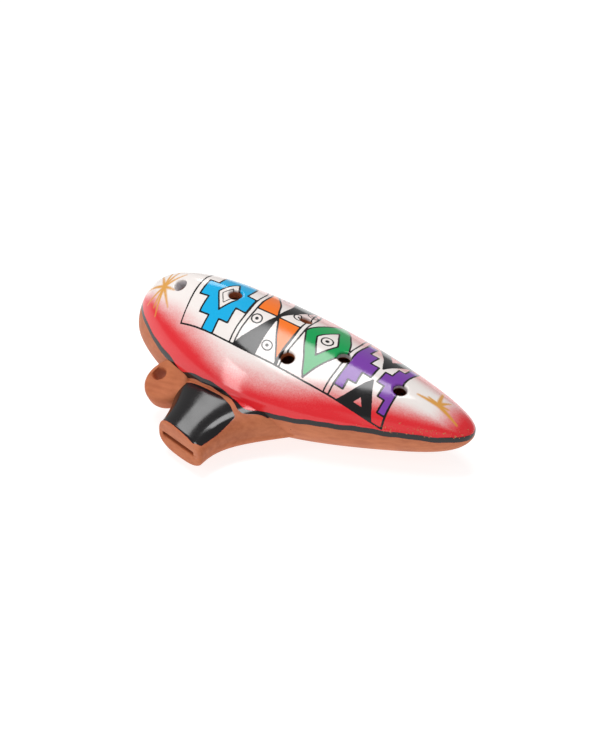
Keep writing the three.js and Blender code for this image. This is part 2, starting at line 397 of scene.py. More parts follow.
@dataclass(frozen=True)
class BorderArt:
    """The black band along the seam, the red spray that fades from it, and the gold bursts."""

    band_half_width: float = 1.12
    ear_half_width: float = 1.45
    head_lift: float = 10.2
    head_reach: float = 33.0
    head_curve: float = 1.3
    sag: float = 4.2
    recovery: float = 3.6
    hump: float = 0.7
    hump_middle: float = 53.0
    hump_reach: float = 4.0
    ear_dip: float = 2.5
    ear_middle: float = 37.0
    ear_reach: float = 4.0
    left_burst: tuple[float, float] = (16.0, -7.2)
    right_burst: tuple[float, float] = (136.2, -2.0)
    left_rays: tuple[tuple[float, float], ...] = (
        (23.2, -1.2), (19.8, 2.2), (15.6, 2.2), (11.5, -0.6), (6.6, -4.6), (9.6, -12.4),
        (14.2, -15.5), (16.6, -19.6), (22.4, -16.6), (22.0, -9.2),
    )
    right_rays: tuple[tuple[float, float], ...] = (
        (127.8, -2.9), (131.6, -1.2), (133.2, 7.6), (138.6, 3.2), (144.9, -4.2), (139.8, -1.0),
    )

    def rise(self, x: np.ndarray) -> np.ndarray:
        """How far above the seam the band's middle runs on the player's side.

        It rides up over the head, dips by the ear, humps over the mouthpiece's root, drops at the
        root's tail side and climbs back slowly towards the tail.
        """
        ear = self.ear_dip * np.exp(-(((x - self.ear_middle) / self.ear_reach) ** 2))
        hump = self.hump * np.exp(-(((x - self.hump_middle) / self.hump_reach) ** 2))
        drop = self.sag * smooth(57, 69, x) - self.recovery * smooth(62, 120, x)
        return self.lift(x) + hump - ear - drop

    def lift(self, x: np.ndarray) -> np.ndarray:
        """How far above the seam the band rides over the head, alike on both sides."""
        return self.head_lift * np.clip(1 - x / self.head_reach, 0, 1) ** self.head_curve

    def half(self, x: np.ndarray) -> np.ndarray:
        """Half of the band's width: a little broader by the ear."""
        extra = self.ear_half_width - self.band_half_width
        return self.band_half_width + extra * smooth(16, 24, x) * (1 - smooth(38, 46, x))

    def wave(self, x: np.ndarray) -> np.ndarray:
        """The small unsteadiness of the hand that drew the band."""
        return 0.14 * np.sin(x / 2.7) + 0.10 * np.sin(x / 1.3 + 1)

    def upper(self, x: np.ndarray, v: np.ndarray, near: np.ndarray, far: np.ndarray) -> dict[str, np.ndarray]:
        """Distances of the band and bursts, and the strength of the red spray.

        Args:
            x: mm along.
            v: mm round from the crown.
            near: girth of the player's seam at x, below zero.
            far: girth of the far seam at x.
        Returns:
            Values by attribute name.
        """
        wave = self.wave(x)
        up_near, up_far = v - near - self.rise(x) + wave, far - v - self.lift(x) + wave
        above = np.minimum(up_near, up_far)
        reach = np.maximum(-near - self.lift(x), 5.0)
        middle = 0.54 - 0.08 * smooth(10, 22, x) - 0.21 * smooth(28, 62, x) + 0.20 * smooth(70, 125, x)
        spray_near = 1 - smooth(middle - 0.2, middle + 0.2, (v - near - self.lift(x)) / reach)
        spray_far = 1 - smooth(0.35, 0.97, up_far / reach)
        spray = np.maximum(spray_near, spray_far)
        p = np.stack([x, v], -1)
        strokes = [(*self.left_burst, *tip, 0.80) for tip in self.left_rays]
        strokes += [(*self.right_burst, *tip, 1.0) for tip in self.right_rays]
        return {
            "band_edge": above - self.half(x),
            "bare_edge": above + self.half(x) - 0.25,
            "spray": np.maximum(spray, smooth(133.5, 147.0, x)),
            "gold_edge": to_strokes(p, strokes),
            "wear": smooth(104, 122, x) * (1 - smooth(3.0, 6.0, above)),
        }

    def lower(self, x: np.ndarray, below_near: np.ndarray, below_far: np.ndarray) -> dict[str, np.ndarray]:
        """The band's lower edge on the bare shell.

        Args:
            x: mm along.
            below_near: girth below the player's seam.
            below_far: girth below the far seam.
        Returns:
            Distances in mm by attribute name.
        """
        wave = self.wave(x)
        above = np.maximum(-below_near - self.rise(x), -below_far - self.lift(x)) + wave
        return {"band_edge": np.abs(above) - self.half(x), "coat_edge": -above - self.half(x)}


@dataclass(frozen=True)
class Hole:
    """A hole drilled square to the vessel's surface, with a rounded rim.

    Its outline is a superellipse of reach_along by reach_round, of the given squareness. The
    lining is how much pale grey is painted down its wall, 0 to 1: partly lacquer, and partly a
    painted reflection of the glossy wall.
    """

    along: float
    across: float
    reach_along: float
    reach_round: float
    squareness: float = 2.0
    rim: float = 0.7
    margin: float = 2.0
    lining: float = 0.0

    def outline(self, angle: np.ndarray) -> np.ndarray:
        """Distance from the hole's axis to its wall, at each angle round it."""
        a = np.abs(np.cos(angle) / self.reach_along) ** self.squareness
        b = np.abs(np.sin(angle) / self.reach_round) ** self.squareness
        return (a + b) ** (-1 / self.squareness)


@dataclass(frozen=True)
class Place:
    """The maker's frame: mm, with the head's tip at x 0, the centreline at y 0, the ground at z 0."""

    tip: float
    centreline: float

    @staticmethod
    def of_shell(node: str) -> "Place":
        """Reads the frame off a shell: its head end and the middle of its width."""
        low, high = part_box(node)
        return Place(low.x, (low.y + high.y) / 2)

    def to_frame(self, points: np.ndarray) -> np.ndarray:
        """Points from mm in the maker's frame to metres in the CAD frame."""
        return points * MM + np.array([self.tip, self.centreline, 0.0])


class MeshSheet:
    """Collects points, faces and per-point values, and puts them into one Blender mesh."""

    def __init__(self) -> None:
        """Starts an empty sheet."""
        self.points: list[np.ndarray] = []
        self.faces: list[np.ndarray] = []
        self.values: dict[str, list[np.ndarray]] = {}
        self.count = 0

    def add_points(self, points: np.ndarray, **values: np.ndarray) -> np.ndarray:
        """Adds points.

        Args:
            points: coordinates in mm, last axis 3, of any grid shape.
            values: what is kept at each point, by name, of that shape or one number.
        Returns:
            The points' indices, in the grid's shape.
        """
        shape = points.shape[:-1]
        flat = points.reshape(-1, 3)
        self.points.append(flat)
        for name, value in values.items():
            self.values.setdefault(name, []).append(np.broadcast_to(value, shape).reshape(-1))
        index = np.arange(self.count, self.count + len(flat)).reshape(shape)
        self.count += len(flat)
        return index

    def add_quads(self, index: np.ndarray, flip: bool = False, keep: np.ndarray | None = None) -> None:
        """Adds the cells of a grid; a cell with a repeated corner becomes a triangle.

        Args:
            index: the grid's point indices.
            flip: whether the corners run the other way round.
            keep: which cells to add, or None for all.
        """
        corners = np.stack([index[:-1, :-1], index[1:, :-1], index[1:, 1:], index[:-1, 1:]], -1)
        corners = corners[keep] if keep is not None else corners.reshape(-1, 4)
        self.faces.append(corners[:, ::-1] if flip else corners)

    def add_stitch(self, fine: np.ndarray, coarse: np.ndarray, flip: bool = False) -> None:
        """Joins a fine line to one of half its density, three triangles to a step.

        Args:
            fine: 2n + 1 indices.
            coarse: n + 1 indices.
            flip: whether the corners run the other way round.
        """
        a, b, c = fine[:-1:2], fine[1::2], fine[2::2]
        p, q = coarse[:-1], coarse[1:]
        triangles = np.concatenate([np.stack(t, -1) for t in ((p, a, b), (p, b, q), (q, b, c))])
        self.faces.append(triangles[:, ::-1] if flip else triangles)

    def arrays(self) -> tuple[np.ndarray, dict[str, np.ndarray]]:
        """All points and all values so far."""
        return np.concatenate(self.points), {k: np.concatenate(v) for k, v in self.values.items()}

    def build(self, name: str, place: Place, values: dict[str, np.ndarray],
              closed: bool = True) -> bpy.types.Object:
        """Makes the object, smooth but with the folds kept sharp.

        Args:
            name: the piece's name.
            place: where the maker's mm frame lies in the CAD frame.
            values: what the finish reads, one row to a point.
            closed: whether the faces enclose a body, so that they can be turned outwards.
        Returns:
            The new object, at the origin.
        """
        points, _ = self.arrays()
        quads = [f for f in self.faces if f.shape[1] == 4]
        rows = [f.tolist() for f in self.faces if f.shape[1] == 3]
        faces = [row for group in rows for row in group]
        if quads:
            every = np.concatenate(quads)
            nxt = np.roll(every, -1, axis=1)
            distinct = (every != nxt).all(1)
            faces += every[distinct].tolist()
            short, short_next = every[~distinct], nxt[~distinct]
            thirds = short[short != short_next].reshape(-1, 3) if len(short) else short[:, :3]
            faces += thirds.tolist()
        mesh = bpy.data.meshes.new(name)
        mesh.from_pydata(place.to_frame(points).tolist(), [], faces)
        if closed:
            shape = bmesh.new()
            shape.from_mesh(mesh)
            bmesh.ops.recalc_face_normals(shape, faces=shape.faces[:])
            shape.to_mesh(mesh)
            shape.free()
        for key, value in values.items():
            kind = "FLOAT_COLOR" if value.ndim == 2 else "FLOAT"
            attribute = mesh.attributes.new(key, kind, "POINT")
            slot = "color" if value.ndim == 2 else "value"
            attribute.data.foreach_set(slot, np.ascontiguousarray(value, np.float32).ravel())
        mesh.validate()
        mesh.shade_smooth()
        mesh.set_sharp_from_angle(angle=math.radians(CREASE_DEGREES))
        piece = bpy.data.objects.new(name, mesh)
        bpy.context.scene.collection.objects.link(piece)
        return piece


@dataclass
class Decoration:
    """Turns surface angles into everything the painted finish reads."""

    form: VesselForm
    panel: PanelArt = field(default_factory=PanelArt)
    border: BorderArt = field(default_factory=BorderArt)

    def marks(self, values: dict[str, np.ndarray], half: Half) -> dict[str, np.ndarray]:
        """The painted attributes at each point.

        Args:
            values: phi, theta, depth and lining by name.
            half: which half is painted.
        Returns:
            Values by attribute name.
        """
        girth = Girth(self.form, half)
        phi, theta = values["phi"], values["theta"]
        x = (1 - np.cos(phi)) / 2 * self.form.length
        v = girth.at(phi, theta)
        first = girth.at(phi, np.full_like(phi, half.value))
        last = girth.at(phi, np.full_like(phi, half.value + math.pi))
        inside = {"depth": values["depth"], "lining": values["lining"]}
        if half is Half.LOWER:
            return {**inside, **self.border.lower(x, last - v, v - first)}
        return {**inside, **self.panel.marks(x, v), **self.border.upper(x, v, first, last)}


@dataclass
class Shell:
    """One pressed half of the vessel: an outer and an inner skin, holes, and a flat glued rim."""

    name: str
    node: str
    half: Half
    slot: Slot
    holes: tuple[Hole, ...]
    form: VesselForm = field(default_factory=VesselForm)
    along: int = 400
    around: int = 184
    rings: int = 5
    rim_steps: int = 5
    tunnel_steps: int = 6

    def solve(self, phi: np.ndarray, theta: np.ndarray, target: np.ndarray, axes: np.ndarray,
              centre: np.ndarray, inset: float) -> tuple[np.ndarray, np.ndarray]:
        """Finds the surface angles whose points fall on given places of a flat plan.

        Newton's method on both angles at once: the plan's two coordinates of a surface point are
        compared with the target, and the step is the difference over the local slopes.

        Args:
            phi: first guess along.
            theta: first guess around.
            target: wanted plan coordinates, last axis 2.
            axes: the plan's two unit vectors, (2, 3).
            centre: the plan's origin.
            inset: depth of the surface.
        Returns:
            phi and theta.
        """
        step = ANGLE_STEP
        low = self.half.value
        for _ in range(ROUNDS):
            here = (self.form.point(phi, theta, inset) - centre) @ axes.T
            d_phi = ((self.form.point(phi + step, theta, inset) - centre) @ axes.T - here) / step
            d_theta = ((self.form.point(phi, theta + step, inset) - centre) @ axes.T - here) / step
            miss = target - here
            det = d_phi[..., 0] * d_theta[..., 1] - d_phi[..., 1] * d_theta[..., 0]
            det = np.where(np.abs(det) < 1e-6, 1e-6, det)
            move_phi = (miss[..., 0] * d_theta[..., 1] - miss[..., 1] * d_theta[..., 0]) / det
            move_theta = (miss[..., 1] * d_phi[..., 0] - miss[..., 0] * d_phi[..., 1]) / det
            phi = np.clip(phi + np.clip(move_phi, -0.1, 0.1), 0.01, math.pi - 0.01)
            theta = np.clip(theta + np.clip(move_theta, -0.15, 0.15), low + 0.01, low + math.pi - 0.01)
        return phi, theta

    def drill(self, sheet: MeshSheet, hole: Hole, outer: np.ndarray, inner: np.ndarray,
              phi: np.ndarray, theta: np.ndarray, keep: np.ndarray, keep_inner: np.ndarray) -> None:
        """Replaces a window of cells by rings that run in to a rounded rim and down the hole's wall.

        Each ring is the hole's outline blended with the window's border, laid on the surface; the
        rim is a quarter circle from the surface into the wall; the inner skin is met the same way
        at half the density.

        Args:
            sheet: takes the new points and faces.
            hole: the hole.
            outer: indices of the outer skin's grid.
            inner: indices of the inner skin's grid, at half the density.
            phi: the grid's angles along.
            theta: the grid's angles around.
            keep: the outer skin's cells that stay; the window's are cleared.
            keep_inner: the same for the inner skin.
        """
        form, wall = self.form, self.form.wall
        start_phi = np.arccos(1 - 2 * hole.along / form.length)
        wanted = np.array([hole.along, hole.across])
        flat_axes = np.array([[1.0, 0, 0], [0, 1.0, 0]])
        guess = np.array(self.half.value + math.pi / 2)
        p0, t0 = self.solve(np.array(start_phi), guess, wanted, flat_axes, np.zeros(3), 0.0)
        centre = form.point(p0, t0)
        u = form.point(p0 + ANGLE_STEP, t0) - centre
        w = form.point(p0, t0 + ANGLE_STEP) - centre
        normal = np.cross(u, w)
        normal /= np.linalg.norm(normal)
        u = u / np.linalg.norm(u)
        axes = np.stack([u, np.cross(normal, u)])

        reach = max(hole.reach_along, hole.reach_round) + hole.rim + hole.margin
        plan = (form.point(*np.meshgrid(phi, theta, indexing="ij")) - centre) @ axes.T
        close = (np.abs(plan[..., 0]) < hole.reach_along + hole.rim + hole.margin) & (
            np.abs(plan[..., 1]) < hole.reach_round + hole.rim + hole.margin)
        distance = np.linalg.norm(form.point(*np.meshgrid(phi, theta, indexing="ij")) - centre, axis=-1)
        rows, columns = np.nonzero(close & (distance < 1.8 * reach))
        i0, i1 = rows.min() // 2 * 2, -(-rows.max() // 2) * 2
        j0, j1 = columns.min() // 2 * 2, -(-columns.max() // 2) * 2
        keep[i0:i1, j0:j1] = False
        keep_inner[i0 // 2 : i1 // 2, j0 // 2 : j1 // 2] = False

        run_i, run_j = np.arange(i0, i1), np.arange(j0, j1)
        loop_i = np.concatenate([run_i, np.full(len(run_j), i1), run_i[::-1] + 1, np.full(len(run_j), i0)])
        loop_j = np.concatenate([np.full(len(run_i), j0), run_j, np.full(len(run_i), j1), run_j[::-1] + 1])
        border = plan[loop_i, loop_j]
        angle = np.arctan2(border[:, 1], border[:, 0])
        spoke = np.stack([np.cos(angle), np.sin(angle)], -1)
        wall_line = hole.outline(angle)[:, None] * spoke

        beta = np.linspace(math.pi / 2, 0, self.rim_steps + 1)[:, None, None]
        rim_plan = wall_line[None] + hole.rim * (1 - np.sin(beta)) * spoke[None]
        t = np.linspace(0, 1, self.rings + 1)[1:-1, None, None]
        lip_plan = wall_line + hole.rim * spoke
        ring_plan = lip_plan[None] * (1 - t) + border[None] * t
        target = np.concatenate([rim_plan, ring_plan])
        sink = np.zeros(target.shape[:2])
        sink[: self.rim_steps + 1] = hole.rim * (1 - np.cos(beta[..., 0]))
        guess_phi = np.broadcast_to(phi[loop_i], sink.shape) * 0.5 + p0 * 0.5
        guess_theta = np.broadcast_to(theta[loop_j], sink.shape) * 0.5 + t0 * 0.5
        at_phi, at_theta = self.solve(guess_phi, guess_theta, target, axes, centre, 0.0)
        skin = form.point(at_phi, at_theta) - sink[..., None] * normal

        half_angle = angle[::2]
        half_spoke = spoke[::2]
        in_line = hole.outline(half_angle)[:, None] * half_spoke
        in_centre = centre - wall * normal
        in_phi, in_theta = phi[loop_i[::2]], theta[loop_j[::2]]
        in_border = (form.point(in_phi, in_theta, wall) - in_centre) @ axes.T
        t_in = np.linspace(0, 1, self.rings)[:-1, None, None]
        in_target = in_line[None] * (1 - t_in) + in_border[None] * t_in
        ip, it = self.solve(np.broadcast_to(in_phi, in_target.shape[:2]) * 0.5 + p0 * 0.5,
                            np.broadcast_to(in_theta, in_target.shape[:2]) * 0.5 + t0 * 0.5,
                            in_target, axes, in_centre, wall)
        in_skin = form.point(ip, it, wall)

        foot = in_skin[0]
        full = np.stack([foot, (foot + np.roll(foot, -1, axis=0)) / 2], 1).reshape(-1, 3)
        full_in = hole.outline(angle)[:, None] * spoke
        full = full + ((full_in @ axes) - ((full - in_centre) @ axes.T) @ axes)
        s = np.linspace(0, 1, self.tunnel_steps + 1)[1:-1, None, None]
        tunnel = skin[0][None] * s + full[None] * (1 - s)
        depth = np.linalg.norm(tunnel - skin[0], axis=-1) + hole.rim

        low = sheet.add_points(tunnel, phi=at_phi[0], theta=at_theta[0], depth=depth, lining=hole.lining)
        high = sheet.add_points(skin, phi=at_phi, theta=at_theta, depth=sink, lining=hole.lining)
        edge = outer[loop_i, loop_j][None]
        rings = np.concatenate([low, high, edge])
        sheet.add_quads(np.concatenate([rings, rings[:, :1]], 1))
        in_rings = sheet.add_points(in_skin, phi=p0, theta=t0, depth=wall, lining=0.0)
        in_edge = inner[loop_i[::2] // 2, loop_j[::2] // 2][None]
        in_all = np.concatenate([in_rings, in_edge])
        sheet.add_quads(np.concatenate([in_all, in_all[:, :1]], 1), flip=True)
        sheet.add_stitch(np.append(rings[0], rings[0, 0]), np.append(in_all[0], in_all[0, 0]))

    def build(self, place: Place, decorate: Decoration) -> bpy.types.Object:
        """Builds the shell and works out what its finish reads.

        Args:
            place: the maker's frame.
            decorate: gives the painted attributes.
        Returns:
            The finished object.
        """
        form, sheet = self.form, MeshSheet()
        phi = form.stations(self.along)
        theta = form.turns(self.around, self.half.value)
        p, t = np.meshgrid(phi, theta, indexing="ij")
        outer = sheet.add_points(form.point(p, t), phi=p, theta=t, depth=0.0, lining=0.0)
        outer[0], outer[-1] = outer[0, 0], outer[-1, 0]
        inner = sheet.add_points(
            form.point(p[::2, ::2], t[::2, ::2], form.wall), phi=p[::2, ::2], theta=t[::2, ::2],
            depth=form.wall, lining=0.0)
        inner[0], inner[-1] = inner[0, 0], inner[-1, 0]
        keep = np.ones((self.along, self.around), bool)
        keep_inner = np.ones((self.along // 2, self.around // 2), bool)
        for hole in self.holes:
            self.drill(sheet, hole, outer, inner, phi, theta, keep, keep_inner)
        sheet.add_quads(outer, keep=keep)
        sheet.add_quads(inner, flip=True, keep=keep_inner)
        sheet.add_stitch(outer[:, 0], inner[:, 0], flip=False)
        sheet.add_stitch(outer[:, -1], inner[:, -1], flip=True)
        _, values = sheet.arrays()
        marks = decorate.marks(values, self.half)
        piece = sheet.build(self.name, place, marks)
        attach(piece, BODY)
        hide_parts(self.node)
        return piece


@dataclass
class Mouthpiece:
    """The duct: a superellipse tube from the oblique lips to the vessel's side, in two halves.

    Its section widens by a power a little over two of the distance along it, its top rises evenly,
    and its bottom sweeps up at the end, with the seventh power. A flat windway runs through it.
    """

    form: VesselForm = field(default_factory=VesselForm)
    border: BorderArt = field(default_factory=BorderArt)
    lip: tuple[float, float] = (56.5, -54.4)
    root: tuple[float, float] = (54.0, -20.0)
    turn: float = -0.35
    half_width: float = 12.4
    head_flare: float = 13.0
    tail_flare: float = 31.0
    top: tuple[float, float] = (15.0, 22.0)
    bottom: tuple[float, float] = (3.0, 12.0)
    sweep_power: float = 7.0
    flare_power: float = 2.2
    top_fullness: float = 2.8
    bottom_fullness: float = 2.6
    level: float = 9.0
    windway_height: float = 1.6
    windway_lip: float = 9.4
    windway_shift: float = -1.4
    windway_exit: float = 8.0
    exit_y: float = -24.3
    edge_round: float = 1.3
    slot_round: float = 0.35
    columns: int = 96
    stations: int = 72
    round_steps: int = 7
    trials: int = 400
    sunk: float = 0.94
    slot_squareness: float = 9.0
    slot_rounding: float = 0.02
    windway_lean: float = 0.85

    def section(self, k: np.ndarray, u: np.ndarray) -> np.ndarray:
        """The duct's outer surface.

        Args:
            k: how far along, 0 at the lip line and 1 at the root.
            u: angle round, 0 on the tail side.
        Returns:
            Points in mm, last axis 3.
        """
        middle = self.lip[0] + k * (self.root[0] - self.lip[0])
        y = self.lip[1] + k * (self.root[1] - self.lip[1])
        flare = np.where(np.cos(u) > 0, self.tail_flare, self.head_flare)
        half = self.half_width + flare * np.maximum(k, 0) ** self.flare_power
        up = np.sin(u) >= 0
        power = np.where(up, 2 / self.top_fullness, 2 / self.bottom_fullness)
        top = self.top[0] + k * (self.top[1] - self.top[0])
        bottom = self.bottom[0] + (self.bottom[1] - self.bottom[0]) * np.maximum(k, 0) ** self.sweep_power
        height = np.where(up, top - self.level, self.level - bottom)
        x = middle + half * spow(np.cos(u), power)
        return np.stack([x, y + 0 * u, self.level + height * spow(np.sin(u), power)], -1)

    def lip_line(self, x: np.ndarray) -> np.ndarray:
        """y of the oblique lip plane at x."""
        return self.lip[1] + self.slope() * (x - self.lip[0])

    def half(self, upper: bool) -> tuple[MeshSheet, dict[str, np.ndarray]]:
        """Builds the roof or the floor: an outer skin and a windway skin joined round their edges.

        Args:
            upper: the roof rather than the floor.
        Returns:
            The sheet and its values.
        """
        u = np.linspace(0, math.pi, self.columns + 1) + (0 if upper else math.pi)
        k = np.zeros_like(u)
        run = self.root[1] - self.lip[1]
        for _ in range(ROUNDS):
            k = (self.lip_line(self.section(k, u)[:, 0]) - self.lip[1]) / run
        trial = np.linspace(0, 1, self.trials)[:, None]
        path = self.section(k + trial * (1 - k), np.broadcast_to(u, (self.trials, len(u))))
        inside = (self.form.depth_ratio(path) < self.sunk) | (path[..., 1] > self.exit_y)
        inside[-1] = True
        end = trial[inside.argmax(0), 0]
        stop = k + end * (1 - k)
        start = k + self.edge_round / run
        t = np.linspace(0, 1, self.stations)[:, None]
        outer = self.section(start + t * (stop - start), np.broadcast_to(u, (self.stations, len(u))))

        rim = outer[0]
        normal = -np.array([-self.slope(), 1.0, 0.0]) / math.hypot(self.slope(), 1)
        hub = np.array([self.lip[0], self.lip[1], self.level])
        inward = hub + 0 * rim - rim
        inward -= (inward @ normal)[:, None] * normal
        squash = np.array([0.35, 0.35, 1.0])
        inward *= squash
        inward /= np.linalg.norm(inward, axis=1)[:, None] + 1e-9
        inward[[0, -1], 2] = 0
        beta = np.linspace(0, math.pi / 2, self.round_steps + 1)[:-1, None, None]
        rounded = (rim + self.edge_round * (1 - np.sin(beta)) * inward
                   + self.edge_round * np.cos(beta) * normal)
        outer = np.concatenate([rounded, outer])

        rows = len(outer)
        turned = self.slot_rounding
        v = np.concatenate([np.linspace(0, turned, self.round_steps)[:-1],
                            np.linspace(turned, 1, rows - self.round_steps + 1)])[:, None]
        side = spow(np.cos(u), 2 / self.slot_squareness)
        rise = spow(np.sin(u), 2 / self.slot_squareness) * self.windway_height / 2
        flared = self.slot_round * np.clip(1 - v / turned, 0, 1) ** 2
        half = self.windway_lip + v * (self.windway_exit - self.windway_lip) + flared
        x_lip = self.lip[0] + self.windway_shift + half * side
        face_y = self.lip_line(x_lip)
        x = x_lip + v * ((self.root[0] - self.lip[0]) * self.windway_lean - self.windway_shift)
        y = face_y * (1 - v) + self.exit_y * v
        z = self.level + rise + flared * np.sign(rise) * (np.abs(rise) > 1e-6)
        inner = np.stack([x, y, np.broadcast_to(z, x.shape)], -1)

        sheet = MeshSheet()
        out = sheet.add_points(outer, depth=0.0)
        inn = sheet.add_points(inner, depth=3.0)
        loop = np.concatenate([out, inn[:, ::-1], out[:, :1]], 1)
        sheet.add_quads(loop, flip=True)
        sheet.add_quads(np.stack([out[0], inn[0]]), flip=True)
        sheet.add_quads(np.stack([out[-1], inn[-1]]), flip=False)
        _, values = sheet.arrays()
        return sheet, values

    def slope(self) -> float:
        """How much y changes with x along the lip plane."""
        return math.tan(self.turn)

    def build(self, place: Place, upper: bool) -> bpy.types.Object:
        """Makes one half as an object, with the paint's distances on the roof.

        Args:
            place: the maker's frame.
            upper: the roof rather than the floor.
        Returns:
            The finished object.
        """
        sheet, values = self.half(upper)
        marks = {"depth": values["depth"]}
        if upper:
            points, _ = sheet.arrays()
            band, coat = self.band(points)
            patch = self.patch(points)
            inner = values["depth"] > 1
            marks["band_edge"] = np.where(inner, AWAY, np.minimum(patch, band))
            marks["coat_edge"] = np.where(inner, AWAY, np.minimum(patch, coat))
        name, node = (("mouthpiece_roof_clay", "mouthpiece_roof") if upper
                      else ("mouthpiece_floor_clay", "mouthpiece_floor"))
        piece = sheet.build(name, place, marks)
        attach(piece, BODY)
        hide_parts(node)
        return piece

    def patch(self, points: np.ndarray) -> np.ndarray:
        """Signed distance to the glazed patch, a rounded trapezoid in plan that ends on the flanks.

        Args:
            points: places in mm, last axis 3.
        Returns:
            Distances in mm, below zero in the patch.
        """
        corners = [(32.0, -29.2), (38.0, -28.6), (43.5, -29.2), (58.8, -32.0), (64.4, -34.5),
                   (68.6, -37.6), (66.8, -50.0), (66.4, -55.4), (64.6, -56.0), (46.0, -48.8), (39.0, -46.0)]
        flank = 10.0 + 2.2 * smooth(56, 68, points[:, 0]) - points[:, 2]
        return np.maximum(to_polygon(points[:, :2], corners) - 1.1, flank)

    def band(self, points: np.ndarray) -> tuple[np.ndarray, np.ndarray]:
        """Signed distances to the paint where the vessel's band crosses the roof.

        The distance out in plan from the vessel's widest outline is set against two bell curves
        round the tail-side fillet: the paint ends at the larger, and the red gives way to the band
        at the smaller, or below the upper edge of the vessel's own band.

        Args:
            points: places in mm, last axis 3.
        Returns:
            The distance to the black band and the distance to all paint.
        """
        x = points[:, 0]
        _, side, _, _ = self.form.size(np.arccos(1 - 2 * np.clip(x, 1, 149) / self.form.length))
        out = -side - points[:, 1]
        reach = 4.0 * np.exp(-(((x - 70.3) / 5.0) ** 2))
        red = 2.1 * np.exp(-(((x - 70.5) / 4.0) ** 2)) - 0.2
        low = 15.6 - points[:, 2]
        coat = np.maximum(out - reach, low)
        above = points[:, 2] - self.form.seam(x) - self.border.rise(x) - self.border.half(x)
        return np.maximum(coat, np.minimum(red - out, above)), coat


@dataclass
class Ear:
    """The pierced ear: an elliptical pat of clay with rounded edges and a cord hole.

    The section is a rounded slab carried round the hole: each spoke runs from the hole's circle to
    the ellipse, and the clay swells where it meets the vessel.
    """

    form: VesselForm = field(default_factory=VesselForm)
    centre: tuple[float, float, float] = (32.3, -26.9, 15.0)
    tilt: float = 0.54
    reach: tuple[float, float] = (9.8, 9.8)
    thick: float = 7.6
    edge: float = 2.6
    hole: tuple[float, float] = (27.8, -25.4)
    hole_radius: float = 2.7
    hole_edge: float = 1.0
    turns: int = 128
    corner_steps: int = 7
    flat_steps: int = 16
    sunk: float = 0.93
    swell: float = 0.22
    swell_ratio: float = 3 / 22

    def build(self, place: Place) -> bpy.types.Object:
        """Makes the ear.

        Args:
            place: the maker's frame.
        Returns:
            The finished object.
        """
        alpha = np.linspace(0, 2 * math.pi, self.turns, endpoint=False)
        spoke = np.stack([np.cos(alpha), np.sin(alpha)], -1)
        offset = np.array([self.hole[0] - self.centre[0], (self.hole[1] - self.centre[1])])
        a, b = self.reach
        scale = np.array([1 / a, 1 / b])
        m, d = offset * scale, spoke * scale
        dd, md, mm = (d**2).sum(1), (d * m).sum(1), (m**2).sum()
        outer = (-md + np.sqrt(md**2 - dd * (mm - 1))) / dd
        half = self.thick / 2
        quarter = np.linspace(0, math.pi / 2, self.corner_steps)
        inner_r = self.hole_radius + self.hole_edge * (1 - np.cos(quarter))
        inner_h = half - self.hole_edge * (1 - np.sin(quarter))
        outer_r = -self.edge * (1 - np.sin(quarter[::-1]))
        outer_h = half - self.edge * (1 - np.cos(quarter[::-1]))
        flat = np.linspace(0, 1, self.flat_steps + 2)[1:-1]
        lip = inner_r[-1]
        run = [(np.full_like(alpha, r), h) for r, h in zip(inner_r, inner_h)]
        run += [(lip * (1 - t) + (outer - self.edge) * t, half) for t in flat]
        run += [(outer + r, h) for r, h in zip(outer_r[::-1], outer_h[::-1])]
        upper = np.stack([np.stack([r, np.full_like(alpha, h)], -1) for r, h in run])
        lower = upper[::-1] * np.array([1, -1])
        profile = np.concatenate([upper, lower])
        radius, height = profile[..., 0], profile[..., 1]
        flat_x = self.hole[0] + radius * spoke[:, 0]
        flat_y = (self.hole[1] - self.centre[1]) + radius * spoke[:, 1]
        c, s = math.cos(self.tilt), math.sin(self.tilt)
        y = self.centre[1] + flat_y * c - height * s
        z = self.centre[2] + flat_y * s + height * c
        points = np.stack([flat_x, y, z], -1)
        ratio = self.form.depth_ratio(points)
        near = np.exp(-((np.maximum(ratio - 1, 0) / self.swell_ratio) ** 2))
        swell = near * self.swell * smooth(3.2, 6.5, radius)
        points[..., 1] -= swell * height * s
        points[..., 2] += swell * height * c
        ratio = self.form.depth_ratio(points)
        pull = np.where(ratio < self.sunk, self.sunk / np.maximum(ratio, 0.05), 1.0)
        seam = self.form.seam(points[..., 0])
        points[..., 1] *= pull
        points[..., 2] = seam + (points[..., 2] - seam) * pull
        sheet = MeshSheet()
        index = sheet.add_points(points, depth=0.0)
        index = np.concatenate([index, index[:1]])
        sheet.add_quads(np.concatenate([index, index[:, :1]], 1))
        piece = sheet.build("cord_ear_clay", place, {"depth": sheet.arrays()[1]["depth"]})
        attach(piece, BODY)
        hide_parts("cord_ear")
        return piece


